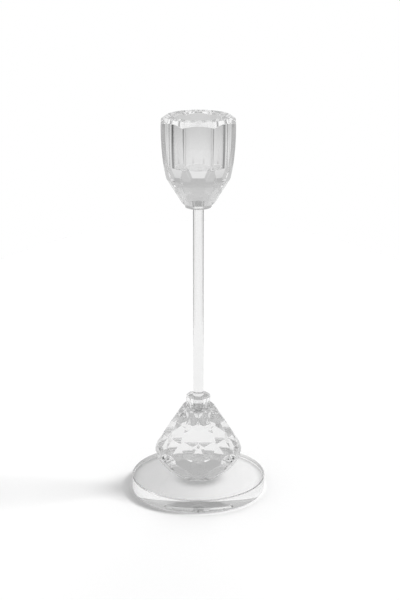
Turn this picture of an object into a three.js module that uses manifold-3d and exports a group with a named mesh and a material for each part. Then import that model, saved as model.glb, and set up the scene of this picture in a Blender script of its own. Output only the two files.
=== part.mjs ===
// Cut-glass candlestick for one taper candle: an eight-sided candle cup and a
// faceted glass body, joined by a thin glass rod, on a round glass foot.
// Millimetres, +Z up, origin at the centre of the foot's underside.

import * as THREE from 'three';
import { mergeVertices } from 'three/addons/utils/BufferGeometryUtils.js';
import Module from 'manifold-3d';

const wasm = await Module();
wasm.setup();

// Foot: a thick round disc.
const FOOT_RADIUS = 35;
const FOOT_HEIGHT = 7.4;
const FOOT_BEVEL = 0.4;

// Clear adhesive: flat films between the pieces, set back from their edges.
const BOND = 0.1;
const BOND_SETBACK = 0.4;

// Rod, its blind sockets and the clearance around it. The adhesive in each
// socket keeps a hair's breadth from the rod and from the socket's wall.
const ROD_RADIUS = 2.7;
const ROD_TIP_BEVEL = 0.3;
const SOCKET_CLEARANCE = 0.1;
const SOCKET_HAIR = 0.02;
const BODY_SOCKET_DEPTH = 4;
const CUP_SOCKET_DEPTH = 4;

// Faceted body. Each tier is a ring of flat cuts: how many, how far the ring is
// turned, the point where each cut touches the blank, and the cut's lean.
const BODY_HEIGHT = 38.2;
const BODY_BLANK_RADIUS = 24;
const BODY_SIDES = 12;
const BODY_TIERS = [
  { count: BODY_SIDES, turn: 0.5, radius: 11.5, height: 0.0, lean: -50 },
  { count: BODY_SIDES, turn: 0, radius: 19.5, height: 7.8, lean: -32 },
  { count: BODY_SIDES, turn: 0.5, radius: 21.8, height: 14.3, lean: 0 },
  { count: BODY_SIDES, turn: 0, radius: 21.0, height: 17.6, lean: 27 },
  { count: BODY_SIDES, turn: 0.5, radius: 15.6, height: 26.4, lean: 32 },
  { count: BODY_SIDES, turn: 0, radius: 11.9, height: 33.2, lean: 36 },
];

// Collar on top of the body: twelve flats with a bevelled upper edge.
const LOWER_COLLAR_SIDES = 12;
const LOWER_COLLAR_APOTHEM = 6.2;
const LOWER_COLLAR_HEIGHT = 6;
const LOWER_COLLAR_BEVEL = 0.7;

// Round collar under the cup.
const UPPER_COLLAR_RADIUS = 6.8;
const UPPER_COLLAR_HEIGHT = 2;
const UPPER_COLLAR_BEVEL = 0.25;

// Candle cup.
const CUP_BOTTOM = 154.6;
const CUP_TOP = 198.7;
const CUP_SIDES = 8;
const CUP_APOTHEM = 18.5;
const CUP_WALL_ARC = 140;
const CUP_WALL_VERTICAL_Z = 194;
const CUP_RIM_RADIUS = 16.5;
const CUP_RIM_DROP = 1.5;
const CANDLE_BORE_RADIUS = 11.7;
const CANDLE_BORE_DEPTH = 24.5;
const CUP_TIERS = [
  { count: CUP_SIDES, turn: 0.5, radius: 18.3, height: 20.5, lean: -18 },
  { count: CUP_SIDES, turn: 0, radius: 16.3, height: 13.8, lean: -31 },
  { count: CUP_SIDES, turn: 0.5, radius: 8.7, height: 0.9, lean: -31 },
];

// How finely round shapes are stepped.
const ROUND_STEPS = 64;
const FOOT_STEPS = 96;
const BORE_STEPS = 48;
const ROD_STEPS = 32;
const WALL_ARC_STEPS = 8;

// Cutting tools: the block that a flat cut takes away, how far a drill runs
// past the glass, how much wider than the cup its rim tool is, and the distance
// within which two corners are one.
const CUT_SIZE = 90;
const OVERRUN = 1;
const RIM_TOOL_WIDTH = 1.5 * CUP_APOTHEM;
const SAME_CORNER = 1e-5;

// Stack of heights that follow from the sizes above.
const BODY_BOTTOM = FOOT_HEIGHT + BOND;
const BODY_TOP = BODY_BOTTOM + BODY_HEIGHT;
const LOWER_COLLAR_BOTTOM = BODY_TOP + BOND;
const LOWER_COLLAR_TOP = LOWER_COLLAR_BOTTOM + LOWER_COLLAR_HEIGHT;
const UPPER_COLLAR_TOP = CUP_BOTTOM - BOND;
const UPPER_COLLAR_BOTTOM = UPPER_COLLAR_TOP - UPPER_COLLAR_HEIGHT;
const SOCKET_RADIUS = ROD_RADIUS + SOCKET_CLEARANCE;
const ROD_BOTTOM = BODY_TOP - BODY_SOCKET_DEPTH + SOCKET_CLEARANCE;
const ROD_TOP = CUP_BOTTOM + CUP_SOCKET_DEPTH - SOCKET_CLEARANCE;

const GLASS = { color: 0xf4f6f6, roughness: 0.02, metalness: 0 };
const ADHESIVE = { color: 0xe6e9e6, roughness: 0.1, metalness: 0 };

/** A solid turned about Z from [radius, height] pairs. */
function turned(outline, steps = ROUND_STEPS, turn = 0) {
  const points = outline.map(([radius, height]) => new THREE.Vector2(radius, height));
  const shape = new THREE.LatheGeometry(points, steps, turn);
  return shape.rotateX(Math.PI / 2);
}

/** Outline of a plain disc or prism with a bevel on its lower and upper edges. */
function bevelledOutline(radius, bottom, top, lowerBevel, upperBevel) {
  return [
    [0, bottom],
    [radius - lowerBevel, bottom],
    [radius, bottom + lowerBevel],
    [radius, top - upperBevel],
    [radius - upperBevel, top],
    [0, top],
  ];
}

/** Drops shading data and merges shared corners, so that a closed mesh becomes a solid. */
function toSolid(geometry) {
  const bare = geometry.clone();
  bare.deleteAttribute('normal');
  bare.deleteAttribute('uv');
  const merged = mergeVertices(bare, SAME_CORNER);
  return new wasm.Manifold(new wasm.Mesh({
    numProp: 3,
    vertProperties: new Float32Array(merged.attributes.position.array),
    triVerts: new Uint32Array(merged.index.array),
  }));
}

/** Turns a finished solid back into a geometry. */
function toGeometry(solid) {
  const mesh = solid.getMesh();
  const geometry = new THREE.BufferGeometry();
  geometry.setAttribute('position', new THREE.BufferAttribute(mesh.vertProperties, 3));
  geometry.setIndex(new THREE.BufferAttribute(mesh.triVerts, 1));
  geometry.computeVertexNormals();
  return geometry;
}

/** A plain cylinder between two heights, used to drill a hole. */
function drill(radius, bottom, top, steps = BORE_STEPS) {
  return toSolid(turned([[0, bottom], [radius, bottom], [radius, top], [0, top]], steps));
}

/** The block of glass that one flat cut takes away. */
function wheelCut(azimuth, radius, height, lean) {
  const block = new THREE.BoxGeometry(CUT_SIZE, CUT_SIZE, CUT_SIZE);
  block.translate(CUT_SIZE / 2, 0, 0);
  block.rotateY(-THREE.MathUtils.degToRad(lean));
  block.translate(radius, 0, height);
  block.rotateZ(azimuth);
  return toSolid(block);
}

/** Cuts every tier of flats into a blank that stands on the given height. */
function cutTiers(blank, tiers, bottom) {
  let solid = blank;
  for (const { count, turn, radius, height, lean } of tiers) {
    for (let index = 0; index < count; index += 1) {
      const azimuth = -Math.PI / 2 + (index + turn) * 2 * Math.PI / count;
      solid = solid.subtract(wheelCut(azimuth, radius, bottom + height, lean));
    }
  }
  return solid;
}

/** Names a geometry and gives it its own material. */
function piece(name, geometry, look) {
  const mesh = new THREE.Mesh(geometry, new THREE.MeshStandardMaterial({ ...look }));
  mesh.name = name;
  return mesh;
}

function baseDisc() {
  const outline = bevelledOutline(FOOT_RADIUS, 0, FOOT_HEIGHT, FOOT_BEVEL, FOOT_BEVEL);
  return piece('base_disc', turned(outline, FOOT_STEPS), GLASS);
}

function facetedBody() {
  const blank = toSolid(turned(
    [[0, BODY_BOTTOM], [BODY_BLANK_RADIUS, BODY_BOTTOM], [BODY_BLANK_RADIUS, BODY_TOP], [0, BODY_TOP]],
  ));
  const cut = cutTiers(blank, BODY_TIERS, BODY_BOTTOM);
  const socket = drill(SOCKET_RADIUS, BODY_TOP - BODY_SOCKET_DEPTH, BODY_TOP + OVERRUN, ROD_STEPS);
  return piece('faceted_body', toGeometry(cut.subtract(socket)), GLASS);
}

function lowerCollar() {
  const corner = LOWER_COLLAR_APOTHEM / Math.cos(Math.PI / LOWER_COLLAR_SIDES);
  const outline = bevelledOutline(corner, LOWER_COLLAR_BOTTOM, LOWER_COLLAR_TOP, 0, LOWER_COLLAR_BEVEL);
  outline.splice(1, 1);
  const blank = toSolid(turned(outline, LOWER_COLLAR_SIDES, Math.PI / LOWER_COLLAR_SIDES));
  const hole = drill(SOCKET_RADIUS, LOWER_COLLAR_BOTTOM - OVERRUN, LOWER_COLLAR_TOP + OVERRUN, ROD_STEPS);
  return piece('lower_collar', toGeometry(blank.subtract(hole)), GLASS);
}

function stemRod() {
  const outline = bevelledOutline(ROD_RADIUS, ROD_BOTTOM, ROD_TOP, ROD_TIP_BEVEL, ROD_TIP_BEVEL);
  return piece('stem_rod', turned(outline, ROD_STEPS), GLASS);
}

function upperCollar() {
  const outline = bevelledOutline(
    UPPER_COLLAR_RADIUS, UPPER_COLLAR_BOTTOM, UPPER_COLLAR_TOP, UPPER_COLLAR_BEVEL, UPPER_COLLAR_BEVEL,
  );
  const hole = drill(SOCKET_RADIUS, UPPER_COLLAR_BOTTOM - OVERRUN, UPPER_COLLAR_TOP + OVERRUN, ROD_STEPS);
  return piece('upper_collar', toGeometry(toSolid(turned(outline)).subtract(hole)), GLASS);
}

/** Outline of the cup's eight tall walls, each bowed in height on one large arc. */
function cupWallOutline() {
  const corner = 1 / Math.cos(Math.PI / CUP_SIDES);
  const outline = [[0, CUP_BOTTOM]];
  for (let step = 0; step <= WALL_ARC_STEPS; step += 1) {
    const height = CUP_BOTTOM + (CUP_WALL_VERTICAL_Z - CUP_BOTTOM) * step / WALL_ARC_STEPS;
    const drop = CUP_WALL_VERTICAL_Z - height;
    const sag = CUP_WALL_ARC - Math.sqrt(CUP_WALL_ARC ** 2 - drop ** 2);
    outline.push([(CUP_APOTHEM - sag) * corner, height]);
  }
  outline.push([CUP_APOTHEM * corner, CUP_TOP]);
  outline.push([0, CUP_TOP]);
  return outline;
}

function candleCup() {
  const walls = toSolid(turned(cupWallOutline(), CUP_SIDES, Math.PI / CUP_SIDES));
  const slope = CUP_RIM_DROP / (CUP_APOTHEM - CUP_RIM_RADIUS);
  const rimToolTop = CUP_TOP - (RIM_TOOL_WIDTH - CUP_RIM_RADIUS) * slope;
  const rim = toSolid(turned([
    [0, CUP_BOTTOM], [RIM_TOOL_WIDTH, CUP_BOTTOM], [RIM_TOOL_WIDTH, rimToolTop],
    [CUP_RIM_RADIUS, CUP_TOP], [0, CUP_TOP],
  ]));
  const cut = cutTiers(walls.intersect(rim), CUP_TIERS, CUP_BOTTOM);
  const bore = drill(CANDLE_BORE_RADIUS, CUP_TOP - CANDLE_BORE_DEPTH, CUP_TOP + OVERRUN);
  const socket = drill(SOCKET_RADIUS, CUP_BOTTOM - OVERRUN, CUP_BOTTOM + CUP_SOCKET_DEPTH, ROD_STEPS);
  return piece('candle_cup', toGeometry(cut.subtract(bore).subtract(socket)), GLASS);
}

/** Adhesive film under the faceted body, as wide as its flat bottom. */
function baseBond() {
  const corner = (BODY_TIERS[0].radius - BOND_SETBACK) / Math.cos(Math.PI / BODY_SIDES);
  const outline = bevelledOutline(corner, FOOT_HEIGHT, BODY_BOTTOM, 0, 0);
  return piece('base_bond', turned(outline, BODY_SIDES, 0), ADHESIVE);
}

/** Adhesive washer around the rod between two stacked pieces. */
function collarBond(name, bottom, top, radius) {
  return piece(name, turned([
    [SOCKET_RADIUS, bottom], [radius, bottom], [radius, top], [SOCKET_RADIUS, top],
    [SOCKET_RADIUS, bottom],
  ]), ADHESIVE);
}

/** Adhesive that lines a blind socket: a floor under the rod's tip and a thin sleeve. */
function rodBond(name, socketFloor, rodTip, mouth) {
  const outside = SOCKET_RADIUS - SOCKET_HAIR;
  const inside = ROD_RADIUS + SOCKET_HAIR;
  const outline = [
    [0, socketFloor], [outside, socketFloor], [outside, mouth],
    [inside, mouth], [inside, rodTip], [0, rodTip],
  ];
  if (socketFloor > mouth) outline.reverse();
  return piece(name, turned(outline, ROD_STEPS), ADHESIVE);
}

const candlestick = new THREE.Group();
candlestick.add(
  baseDisc(),
  baseBond(),
  facetedBody(),
  rodBond('body_rod_bond', BODY_TOP - BODY_SOCKET_DEPTH, ROD_BOTTOM, BODY_TOP - BOND_SETBACK),
  collarBond('body_collar_bond', BODY_TOP, LOWER_COLLAR_BOTTOM, LOWER_COLLAR_APOTHEM - BOND_SETBACK),
  lowerCollar(),
  stemRod(),
  upperCollar(),
  collarBond('cup_collar_bond', UPPER_COLLAR_TOP, CUP_BOTTOM, UPPER_COLLAR_RADIUS - BOND_SETBACK),
  rodBond('cup_rod_bond', CUP_BOTTOM + CUP_SOCKET_DEPTH, ROD_TOP, CUP_BOTTOM + BOND_SETBACK),
  candleCup(),
);

export default candlestick;
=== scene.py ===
"""Looks for a cut-glass candlestick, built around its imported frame.

Every piece is clear glass, so each one is a closed, finely finished mesh: the cut pieces keep
their flat facets, gain polished edges and are shaded smoothly along their round walls, and the
round pieces are turned finely enough to bend light smoothly. Where two pieces are cemented
together, the joined faces let light straight through.
"""

import logging
import math
from dataclasses import dataclass
from enum import Enum
from typing import Callable, Optional, Sequence, Union

import bmesh
import bpy
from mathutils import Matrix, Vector


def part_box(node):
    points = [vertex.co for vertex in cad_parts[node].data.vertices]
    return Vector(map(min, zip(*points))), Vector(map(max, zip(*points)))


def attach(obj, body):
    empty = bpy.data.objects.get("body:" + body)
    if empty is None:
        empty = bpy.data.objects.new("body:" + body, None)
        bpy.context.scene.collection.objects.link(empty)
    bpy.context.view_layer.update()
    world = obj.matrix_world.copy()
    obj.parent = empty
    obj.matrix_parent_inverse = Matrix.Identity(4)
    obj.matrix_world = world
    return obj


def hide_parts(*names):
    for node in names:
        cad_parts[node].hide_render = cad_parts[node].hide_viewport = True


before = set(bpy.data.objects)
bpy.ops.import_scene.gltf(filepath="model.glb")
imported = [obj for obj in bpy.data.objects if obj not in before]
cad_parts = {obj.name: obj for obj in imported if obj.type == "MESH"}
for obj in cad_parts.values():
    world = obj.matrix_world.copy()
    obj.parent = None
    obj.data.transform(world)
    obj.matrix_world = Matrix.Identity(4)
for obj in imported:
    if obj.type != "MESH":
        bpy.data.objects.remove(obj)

LOG = logging.getLogger("candlestick")
ROOT_BODY = "root"
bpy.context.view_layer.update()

SAME_POINT = 1e-6
SAME_HEIGHT = 2e-5
LEVEL_TOLERANCE = 1e-4
FLAT_ANGLE = 0.4

Value = Union["Signal", float]
Pair = tuple[float, float]
Outline = Sequence[Pair]


class Joint(Enum):
    """How a glass face meets what is next to it."""

    FREE = "free"
    CEMENTED = "cemented"


def grey(tone: float) -> tuple[float, float, float, float]:
    """A neutral colour of one tone."""
    return (tone, tone, tone, 1.0)


class Signal:
    """One socket of a shader tree that can be used in Python expressions."""

    def __init__(self, tree: "ShaderTree", socket: bpy.types.NodeSocket) -> None:
        """Keeps the tree and the socket."""
        self.tree = tree
        self.socket = socket

    def _maths(self, operation: str, first: Value, second: Value) -> "Signal":
        """Adds one Math node and returns its result."""
        return self.tree.node("ShaderNodeMath", {"operation": operation}, {0: first, 1: second})

    def __add__(self, other: Value) -> "Signal":
        """Sum."""
        return self._maths("ADD", self, other)

    __radd__ = __add__

    def __sub__(self, other: Value) -> "Signal":
        """Difference."""
        return self._maths("SUBTRACT", self, other)

    def __rsub__(self, other: Value) -> "Signal":
        """Difference, with this signal taken away."""
        return self._maths("SUBTRACT", other, self)

    def __mul__(self, other: Value) -> "Signal":
        """Product."""
        return self._maths("MULTIPLY", self, other)

    __rmul__ = __mul__

    def ramp(self, low: float, high: float, bottom: float = 0.0, top: float = 1.0) -> "Signal":
        """Eases from one value to another as this signal goes from low to high.

        Args:
            low: signal value where the ramp starts.
            high: signal value where the ramp ends.
            bottom: result at and below low.
            top: result at and above high.

        Returns:
            The eased signal.
        """
        return self.tree.node(
            "ShaderNodeMapRange",
            {"interpolation_type": "SMOOTHSTEP"},
            {"Value": self, "From Min": low, "From Max": high, "To Min": bottom, "To Max": top},
        )


class ShaderTree:
    """A material's or world's node tree, filled from nothing."""

    def __init__(self, owner: Union[bpy.types.Material, bpy.types.World]) -> None:
        """Switches nodes on and clears them."""
        owner.use_nodes = True
        self.nodes = owner.node_tree.nodes
        self.links = owner.node_tree.links
        self.nodes.clear()

    def node(
        self,
        kind: str,
        settings: Optional[dict] = None,
        values: Optional[dict] = None,
        output: Union[int, str] = 0,
    ) -> Signal:
        """Adds one node.

        Args:
            kind: the node's type name.
            settings: the node's own properties, set first.
            values: socket name or number to a plain value or a signal.
            output: the output socket to return.

        Returns:
            The chosen output as a signal, or the first input of a node that has no output.
        """
        made = self.nodes.new(kind)
        for name, value in (settings or {}).items():
            setattr(made, name, value)
        for name, value in (values or {}).items():
            if isinstance(value, Signal):
                self.links.new(value.socket, made.inputs[name])
            else:
                made.inputs[name].default_value = value
        if not made.outputs:
            return Signal(self, made.inputs[0])
        return Signal(self, made.outputs[output])

    def place(self) -> Signal:
        """Object coordinates, in metres, in the part's own frame."""
        return self.node("ShaderNodeTexCoord", output="Object")

    def axis(self, vector: Signal, name: str) -> Signal:
        """One axis of a vector."""
        return self.node("ShaderNodeSeparateXYZ", {}, {0: vector}, name)

    def stretched(self, place: Signal, scale: tuple[float, float, float]) -> Signal:
        """Coordinates scaled along each axis."""
        return self.node("ShaderNodeVectorMath", {"operation": "MULTIPLY"}, {0: place, 1: scale})

    def noise(self, place: Signal, scale: float, detail: float = 2.0) -> Signal:
        """Smooth noise between 0 and 1."""
        return self.node(
            "ShaderNodeTexNoise", {}, {"Vector": place, "Scale": scale, "Detail": detail}
        )

    def greys(self, share: Signal, first: float, second: float) -> Signal:
        """A grey that goes from one tone to another."""
        return self.node(
            "ShaderNodeMix",
            {"data_type": "RGBA"},
            {"Factor": share, "A": grey(first), "B": grey(second)},
            "Result",
        )

    def bump(self, height: Signal, depth: float, strength: float) -> Signal:
        """A surface normal from a height, with the depth in metres."""
        return self.node(
            "ShaderNodeBump", {}, {"Height": height, "Distance": depth, "Strength": strength}
        )

    def finish(self, kind: str, surface: Signal) -> None:
        """Joins a shader to the output."""
        self.node(kind, {}, {"Surface": surface})


@dataclass(frozen=True)
class ClearGlass:
    """Polished crystal: clear and neutral, very slightly uneven."""

    name: str
    tint: float = 0.955
    smudged_tint: float = 0.94
    index: float = 1.52
    smudge_roughness: float = 0.03
    smudge_scale: float = 60.0
    smudge_detail: float = 4.0
    smudge_range: Pair = (0.55, 0.75)
    wave_scale: float = 90.0
    wave_stretch: tuple[float, float, float] = (1.0, 1.0, 1.0)
    wave_depth: float = 0.00002
    wave_strength: float = 0.25

    def material(self) -> bpy.types.Material:
        """Makes the finish.

        Returns:
            A glass material whose polish and surface vary a little over the piece.
        """
        made = bpy.data.materials.new(self.name)
        tree = ShaderTree(made)
        place = tree.place()
        smudges = tree.noise(place, self.smudge_scale, self.smudge_detail).ramp(*self.smudge_range)
        waves = tree.noise(tree.stretched(place, self.wave_stretch), self.wave_scale)
        glass = tree.node(
            "ShaderNodeBsdfPrincipled",
            {},
            {
                "Base Color": tree.greys(smudges, self.tint, self.smudged_tint),
                "Roughness": smudges * self.smudge_roughness,
                "IOR": self.index,
                "Transmission Weight": 1.0,
                "Normal": tree.bump(waves, self.wave_depth, self.wave_strength),
            },
        )
        tree.finish("ShaderNodeOutputMaterial", glass)
        return made


@dataclass(frozen=True)
class Cement:
    """Cured clear cement, or a glass face that it joins: light goes straight through."""

    name: str
    clearness: float = 0.98
    bubble_tone: float = 0.9
    bubble_roughness: float = 0.2
    bubble_scale: float = 900.0
    bubble_range: Pair = (0.08, 0.16)
    bubble_share: float = 0.08

    def material(self) -> bpy.types.Material:
        """Makes the finish.

        Returns:
            A see-through material with a few tiny bubbles.
        """
        made = bpy.data.materials.new(self.name)
        tree = ShaderTree(made)
        place = tree.place()
        cells = tree.node("ShaderNodeTexVoronoi", {}, {"Vector": place, "Scale": self.bubble_scale})
        bubbles = (1.0 - cells.ramp(*self.bubble_range)) * self.bubble_share
        clear = tree.node("ShaderNodeBsdfTransparent", {}, {"Color": grey(self.clearness)})
        shine = tree.node(
            "ShaderNodeBsdfPrincipled",
            {},
            {"Base Color": grey(self.bubble_tone), "Roughness": self.bubble_roughness},
        )
        mixed = tree.node("ShaderNodeMixShader", {}, {0: bubbles, 1: clear, 2: shine})
        tree.finish("ShaderNodeOutputMaterial", mixed)
        return made


def link(name: str, mesh: bpy.types.Mesh) -> bpy.types.Object:
    """Puts a mesh into the scene under a name."""
    made = bpy.data.objects.new(name, mesh)
    bpy.context.scene.collection.objects.link(made)
    return made


def turned_mesh(name: str, outline: Outline, steps: int) -> bpy.types.Mesh:
    """Turns an outline about the upright axis.

    Args:
        name: the mesh's name.
        outline: (radius, height) pairs in metres, which start on the axis.
        steps: how many steps the turn has.

    Returns:
        The new mesh.
    """
    shape = bmesh.new()
    turn = [2.0 * math.pi * step / steps for step in range(steps)]
    rings: list[list[bmesh.types.BMVert]] = []
    for radius, height in outline:
        angles = turn if radius > 0.0 else [0.0]
        spots = [(radius * math.cos(a), radius * math.sin(a), height) for a in angles]
        rings.append([shape.verts.new(spot) for spot in spots])
    for lower, upper in zip(rings, rings[1:]):
        for step in range(steps):
            following = (step + 1) % steps
            corners = [
                lower[step % len(lower)],
                lower[following % len(lower)],
                upper[following % len(upper)],
                upper[step % len(upper)],
            ]
            shape.faces.new(list(dict.fromkeys(corners)))
    bmesh.ops.recalc_face_normals(shape, faces=shape.faces)
    mesh = bpy.data.meshes.new(name)
    shape.to_mesh(mesh)
    shape.free()
    return mesh


def rounded(corner: Pair, before: Pair, after: Pair, radius: float, steps: int = 4) -> list[Pair]:
    """Points that round one corner of an outline.

    Args:
        corner: the sharp corner.
        before: the outline's point before it.
        after: the outline's point after it.
        radius: how far along each side the rounding starts.
        steps: how many steps the round has.

    Returns:
        The points of the rounded corner, in order.
    """
    centre = Vector(corner)
    start = centre + (Vector(before) - centre).normalized() * radius
    end = centre + (Vector(after) - centre).normalized() * radius
    points = []
    for step in range(steps + 1):
        part = step / steps
        point = start * (1 - part) ** 2 + centre * 2 * part * (1 - part) + end * part ** 2
        points.append((point.x, point.y))
    return points


def softened(outline: Outline, radius: float) -> list[Pair]:
    """Rounds every corner of an outline that starts and ends on the axis."""
    points = [outline[0]]
    for before, corner, after in zip(outline, outline[1:], outline[2:]):
        points += rounded(corner, before, after, radius)
    return points + [outline[-1]]


def node_shape(node: str) -> bmesh.types.BMesh:
    """The frame's solid for a node, as clean joined faces.

    Args:
        node: the frame's node.

    Returns:
        A new mesh in which each flat side is one face.
    """
    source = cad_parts[node].data
    plain = bpy.data.meshes.new(node + "_plain")
    corners = [tuple(vertex.co) for vertex in source.vertices]
    plain.from_pydata(corners, [], [tuple(face.vertices) for face in source.polygons])
    shape = bmesh.new()
    shape.from_mesh(plain)
    bpy.data.meshes.remove(plain)
    bmesh.ops.remove_doubles(shape, verts=shape.verts, dist=SAME_POINT)
    bmesh.ops.dissolve_limit(
        shape, angle_limit=math.radians(FLAT_ANGLE), verts=shape.verts, edges=shape.edges
    )
    return shape


@dataclass
class GlassPiece:
    """One glass piece of the candlestick, named after the frame's node that it stands for."""

    node: str
    slot: str
    finish: ClearGlass
    cement: Cement
    crease_angle: float = 25.0

    def low(self) -> Vector:
        """Lowest corner of the frame's node."""
        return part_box(self.node)[0]

    def high(self) -> Vector:
        """Highest corner of the frame's node."""
        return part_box(self.node)[1]

    def dress(
        self, piece: bpy.types.Object, cemented: Callable[[bpy.types.MeshPolygon], bool]
    ) -> None:
        """Gives each face its finish, and smooth shading up to each crease.

        Args:
            piece: the piece to dress.
            cemented: says which faces are joined to a neighbour.
        """
        finishes = {Joint.FREE: self.finish.material(), Joint.CEMENTED: self.cement.material()}
        for finish in finishes.values():
            piece.data.materials.append(finish)
        order = list(finishes)
        piece.data.set_sharp_from_angle(angle=math.radians(self.crease_angle))
        for face in piece.data.polygons:
            face.material_index = order.index(Joint.CEMENTED if cemented(face) else Joint.FREE)
            face.use_smooth = not level(face)

    def place(self, piece: bpy.types.Object) -> None:
        """Ties the piece to the frame and reports it."""
        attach(piece, ROOT_BODY)
        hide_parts(self.node)
        LOG.info("%s: %d faces", piece.name, len(piece.data.polygons))


def level(face: bpy.types.MeshPolygon) -> bool:
    """True for a face that lies flat."""
    return abs(abs(face.normal.z) - 1.0) < LEVEL_TOLERANCE


def radius_of(face: bpy.types.MeshPolygon) -> float:
    """How far a face's middle is from the upright axis."""
    return math.hypot(face.center.x, face.center.y)


@dataclass
class CutPiece(GlassPiece):
    """A piece whose flat facets come from the frame's node, with polished edges."""

    crease_angle: float = 9.0
    edge_polish: float = 0.0001
    edge_angle: float = 20.0

    def polish_edges(self, shape: bmesh.types.BMesh) -> None:
        """Takes the sharpness off every edge between two facets."""
        limit = math.radians(self.edge_angle)
        sharp = [edge for edge in shape.edges if edge.is_manifold and edge.calc_face_angle() > limit]
        bmesh.ops.bevel(
            shape,
            geom=sharp,
            offset=self.edge_polish,
            segments=1,
            profile=0.5,
            affect="EDGES",
            clamp_overlap=True,
        )

    def build(self, cemented_heights: Sequence[float]) -> bpy.types.Object:
        """Copies the node's solid, joins its flat faces and polishes its edges.

        Args:
            cemented_heights: heights of the flat faces that are cemented.

        Returns:
            The finished piece.
        """
        shape = node_shape(self.node)
        self.polish_edges(shape)
        mesh = bpy.data.meshes.new(self.node + "_cut")
        shape.to_mesh(mesh)
        shape.free()
        piece = link("glass_" + self.node, mesh)
        self.dress(
            piece,
            lambda face: level(face)
            and any(abs(face.center.z - height) < SAME_HEIGHT for height in cemented_heights),
        )
        self.place(piece)
        return piece


@dataclass
class Foot(GlassPiece):
    """The round foot: a thick polished disc."""

    bevel: float = 0.0004
    softness: float = 0.00015
    steps: int = 256

    def build(self, joint_radius: float) -> bpy.types.Object:
        """Turns the disc, with the patch that the body is cemented to.

        Args:
            joint_radius: radius of the patch.

        Returns:
            The finished piece.
        """
        bottom, top = self.low().z, self.high().z
        radius = self.high().x
        rim = [
            (0.0, bottom),
            (radius - self.bevel, bottom),
            (radius, bottom + self.bevel),
            (radius, top - self.bevel),
            (radius - self.bevel, top),
            (0.0, top),
        ]
        outline = softened(rim, self.softness)
        outline.insert(-1, (joint_radius, top))
        piece = link("glass_" + self.node, turned_mesh(self.node + "_turned", outline, self.steps))
        self.dress(
            piece,
            lambda face: abs(face.center.z - top) < SAME_POINT and radius_of(face) < joint_radius,
        )
        self.place(piece)
        return piece


@dataclass
class Rod(GlassPiece):
    """The drawn glass rod."""

    tip_softness: float = 0.0003
    steps: int = 128

    def build(self) -> bpy.types.Object:
        """Turns the rod from tip to tip."""
        bottom, top = self.low().z, self.high().z
        radius = self.high().x
        outline = softened(
            [(0.0, bottom), (radius, bottom), (radius, top), (0.0, top)], self.tip_softness
        )
        piece = link("glass_" + self.node, turned_mesh(self.node + "_turned", outline, self.steps))
        self.dress(piece, lambda face: False)
        self.place(piece)
        return piece


@dataclass
class CementFilm:
    """A cured film or sleeve of clear cement, as the frame's node has it."""

    node: str
    cement: Cement
    slot: str = "clear_adhesive"

    def build(self) -> bpy.types.Object:
        """Copies the node's solid and makes it see-through."""
        shape = node_shape(self.node)
        mesh = bpy.data.meshes.new(self.node + "_film")
        shape.to_mesh(mesh)
        shape.free()
        mesh.materials.append(self.cement.material())
        piece = link("cured_" + self.node, mesh)
        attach(piece, ROOT_BODY)
        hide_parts(self.node)
        LOG.info("%s: %d faces", piece.name, len(mesh.polygons))
        return piece


@dataclass(frozen=True)
class Surroundings:
    """The white room around the table, as the glass sees it.

    The table darkens towards its far edge, with a light wall beyond it, and a black flag stands
    low at the left, which draws the edges of clear glass. Seen directly, all of it is plain
    white. Each range is the part of a direction, along one axis, over which one tone gives way
    to the next.
    """

    plain_white: float = 1.0
    table_near: float = 0.92
    table_edge: float = 0.66
    table_far: float = 0.86
    sides: float = 0.3
    front: float = 0.55
    wall: float = 0.5
    high_light: float = 0.65
    ceiling: float = 0.35
    flag: float = 0.05
    edge_range: Pair = (-0.24, -0.205)
    beyond_range: Pair = (-0.21, -0.11)
    behind_range: Pair = (-0.3, 0.3)
    beside_range: Pair = (0.35, 0.75)
    high_light_range: Pair = (0.3, 0.65)
    ceiling_range: Pair = (0.8, 0.95)
    horizon_range: Pair = (-0.1, 0.1)
    flag_side_range: Pair = (0.85, 0.95)
    flag_foot_range: Pair = (-0.4, -0.3)
    flag_top_range: Pair = (-0.2, -0.1)

    def build(self) -> None:
        """Makes the world."""
        world = bpy.data.worlds.new("studio_surroundings")
        bpy.context.scene.world = world
        tree = ShaderTree(world)
        direction = tree.node("ShaderNodeTexCoord", output="Generated")
        across, along, up = (tree.axis(direction, name) for name in "XYZ")
        near_table = up.ramp(*self.edge_range, self.table_near, self.table_edge)
        beyond = up.ramp(*self.beyond_range)
        table_behind = near_table * (1.0 - beyond) + beyond * self.table_far
        behind = along.ramp(*self.behind_range)
        table = table_behind * behind + (1.0 - behind) * self.front
        beside = (across * across).ramp(*self.beside_range)
        low = table * (1.0 - beside) + beside * self.sides
        high = up.ramp(*self.high_light_range, self.wall, self.high_light)
        above = up.ramp(*self.ceiling_range)
        upper = high * (1.0 - above) + above * self.ceiling
        horizon = up.ramp(*self.horizon_range)
        room = low * (1.0 - horizon) + upper * horizon
        leftward = (across * -1.0).ramp(*self.flag_side_range)
        below_flag_top = 1.0 - up.ramp(*self.flag_top_range)
        flag = leftward * up.ramp(*self.flag_foot_range) * below_flag_top
        flagged = room * (1.0 - flag) + flag * self.flag
        seen = tree.node("ShaderNodeLightPath", output="Is Camera Ray")
        light = flagged * (1.0 - seen) + seen * self.plain_white
        background = tree.node(
            "ShaderNodeBackground", {}, {"Color": grey(1.0), "Strength": light}
        )
        tree.finish("ShaderNodeOutputWorld", background)


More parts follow.
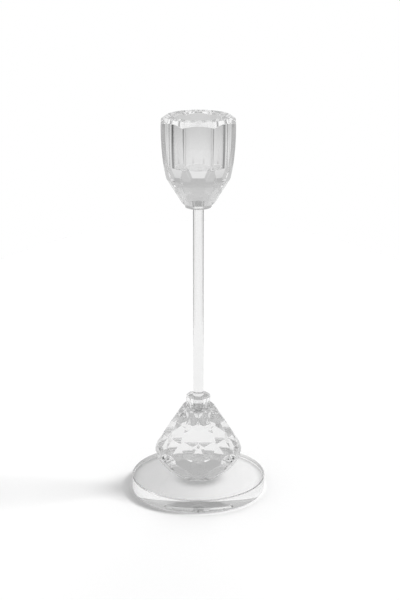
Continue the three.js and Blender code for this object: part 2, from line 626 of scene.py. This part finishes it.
@dataclass(frozen=True)
class SoftSun:
    """One wide, distant light, which lights the floor evenly and isn't mirrored in the glass."""

    name: str
    source: tuple[float, float, float]
    spread: float
    strength: float

    def build(self) -> None:
        """Adds the light, which shines from its source towards the candlestick."""
        light = bpy.data.lights.new(self.name, "SUN")
        light.angle = math.radians(self.spread)
        light.energy = self.strength
        holder = bpy.data.objects.new(self.name, light)
        bpy.context.scene.collection.objects.link(holder)
        holder.rotation_euler = Vector(self.source).to_track_quat("Z", "Y").to_euler()
        holder.visible_glossy = False
        holder.visible_transmission = False


@dataclass(frozen=True)
class PaleFloor:
    """A wide pale floor just under the foot, with a pool of light painted on it as a glow, which
    stands in for the light that the clear foot lets through.

    This painted pool is weaker at the left, as painted shade, and in the middle, under the body,
    as a painted shadow.
    """

    half_size: float = 0.5
    width: float = 0.5
    depth: float = 1.1
    drop: float = 0.0002
    steps: int = 96
    tones: Pair = (0.93, 0.95)
    grain_scale: float = 400.0
    roughness: float = 0.8
    shine: float = 0.1
    painted_pool_glow: float = 0.74
    painted_left_shade: float = 0.55
    pool_radius: float = 0.034
    pool_edge: Pair = (0.9, 1.1)
    painted_middle_shadow: float = 0.3
    pool_middle_radius: float = 0.0115
    pool_middle_edge: Pair = (0.6, 1.4)

    def pool(self, tree: ShaderTree) -> Signal:
        """How much of the painted pool of light is painted on each spot, less at the left and in the
        middle.
        """
        spot = tree.node("ShaderNodeNewGeometry", output="Position")
        distance = tree.node("ShaderNodeVectorMath", {"operation": "LENGTH"}, {0: spot}, "Value")
        across = tree.axis(spot, "X")
        # painted shade: the pool of light is painted weaker towards the left
        lit_side = across.ramp(-self.pool_radius, self.pool_radius, self.painted_left_shade)
        start, end = (self.pool_radius * part for part in self.pool_edge)
        inside = distance.ramp(start, end, 1.0, 0.0)
        # painted shadow: the pool is painted weaker in the middle, under the body
        start, end = (self.pool_middle_radius * part for part in self.pool_middle_edge)
        return inside * distance.ramp(start, end, self.painted_middle_shadow) * lit_side

    def material(self) -> bpy.types.Material:
        """Makes the floor's finish, with the painted pool of light as its glow."""
        made = bpy.data.materials.new("pale_floor")
        tree = ShaderTree(made)
        grain = tree.noise(tree.place(), self.grain_scale)
        surface = tree.node(
            "ShaderNodeBsdfPrincipled",
            {},
            {
                "Base Color": tree.greys(grain, *self.tones),
                "Roughness": self.roughness,
                "Specular IOR Level": self.shine,
                # painted light: the floor glows where the pool of light is painted, though it is no
                # lamp
                "Emission Color": tree.greys(self.pool(tree), 0.0, 1.0),
                "Emission Strength": self.painted_pool_glow,
            },
        )
        tree.finish("ShaderNodeOutputMaterial", surface)
        return made

    def build(self) -> None:
        """Adds the floor, an oval that is longer behind and in front than at the sides."""
        outline = [(0.0, 0.0), (self.half_size, 0.0)]
        piece = link("studio_floor", turned_mesh("studio_floor", outline, self.steps))
        piece.scale = (self.width, self.depth, 1.0)
        piece.location.z = -self.drop
        piece.data.materials.append(self.material())


@dataclass(frozen=True)
class StudioCamera:
    """The camera, in front of the candlestick and looking down at it a little."""

    distance: float = 0.77303
    height: float = 0.35029
    tilt: float = 0.3092
    lens: float = 95.14
    sensor: float = 36.0
    sideways_shift: float = 0.00275
    reach: float = 100.0

    def build(self) -> None:
        """Adds the camera and looks through it."""
        data = bpy.data.cameras.new("camera")
        data.lens = self.lens
        data.sensor_width = self.sensor
        data.shift_x = self.sideways_shift
        data.clip_end = self.reach
        made = bpy.data.objects.new("camera", data)
        bpy.context.scene.collection.objects.link(made)
        made.location = (0.0, -self.distance, self.height)
        made.rotation_euler = (math.pi / 2.0 - self.tilt, 0.0, 0.0)
        bpy.context.scene.camera = made


@dataclass(frozen=True)
class Studio:
    """The camera, the pale floor, the soft lights and the room."""

    key_light: SoftSun = SoftSun("key_light", (1.0, 0.08, 1.15), 16.0, 1.85)
    back_light: SoftSun = SoftSun("back_light", (0.15, 1.0, 1.3), 25.0, 0.4)
    bounces: int = 24

    def build(self) -> None:
        """Sets the whole studio up."""
        StudioCamera().build()
        PaleFloor().build()
        self.key_light.build()
        self.back_light.build()
        Surroundings().build()
        scene = bpy.context.scene
        scene.view_settings.view_transform = "Standard"
        for kind in ("max", "transmission", "glossy", "transparent_max"):
            setattr(scene.cycles, kind + "_bounces", self.bounces)


@dataclass
class Candlestick:
    """The whole candlestick, from foot to cup."""

    glass: ClearGlass = ClearGlass("crystal")
    body_glass: ClearGlass = ClearGlass("body_crystal", tint=0.89, smudged_tint=0.88)
    rod_glass: ClearGlass = ClearGlass(
        "drawn_rod", tint=0.87, smudged_tint=0.86, wave_stretch=(1.0, 1.0, 0.05), wave_scale=500.0
    )
    cement: Cement = Cement("cured_cement")

    def cut(self, node: str, slot: str, glass: ClearGlass, heights: Sequence[float]) -> None:
        """Builds one cut piece.

        Args:
            node: the frame's node.
            slot: a slot name for its material, which is not used.
            glass: its finish.
            heights: heights of its cemented flat faces.
        """
        CutPiece(node, slot, glass, self.cement).build(heights)

    def build(self) -> None:
        """Builds every piece in order."""
        body_bottom, body_top = (corner.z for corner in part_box("faceted_body"))
        cup_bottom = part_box("candle_cup")[0].z
        collar_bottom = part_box("lower_collar")[0].z
        upper_collar_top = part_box("upper_collar")[1].z
        joint_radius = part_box("base_bond")[1].x
        Foot("base_disc", "base_glass", self.glass, self.cement).build(joint_radius)
        self.cut("faceted_body", "body_glass", self.body_glass, [body_bottom, body_top])
        self.cut("lower_collar", "collar_glass", self.glass, [collar_bottom])
        self.cut("upper_collar", "collar_glass", self.glass, [upper_collar_top])
        self.cut("candle_cup", "cup_glass", self.glass, [cup_bottom])
        Rod("stem_rod", "rod_glass", self.rod_glass, self.cement).build()
        for joint in ("base", "body_collar", "body_rod", "cup_collar", "cup_rod"):
            CementFilm(joint + "_bond", self.cement).build()


def main() -> None:
    """Builds the studio and the candlestick."""
    logging.basicConfig(level=logging.INFO, format="%(message)s")
    Studio().build()
    Candlestick().build()
    bpy.context.view_layer.update()


if __name__ == "__main__":
    main()
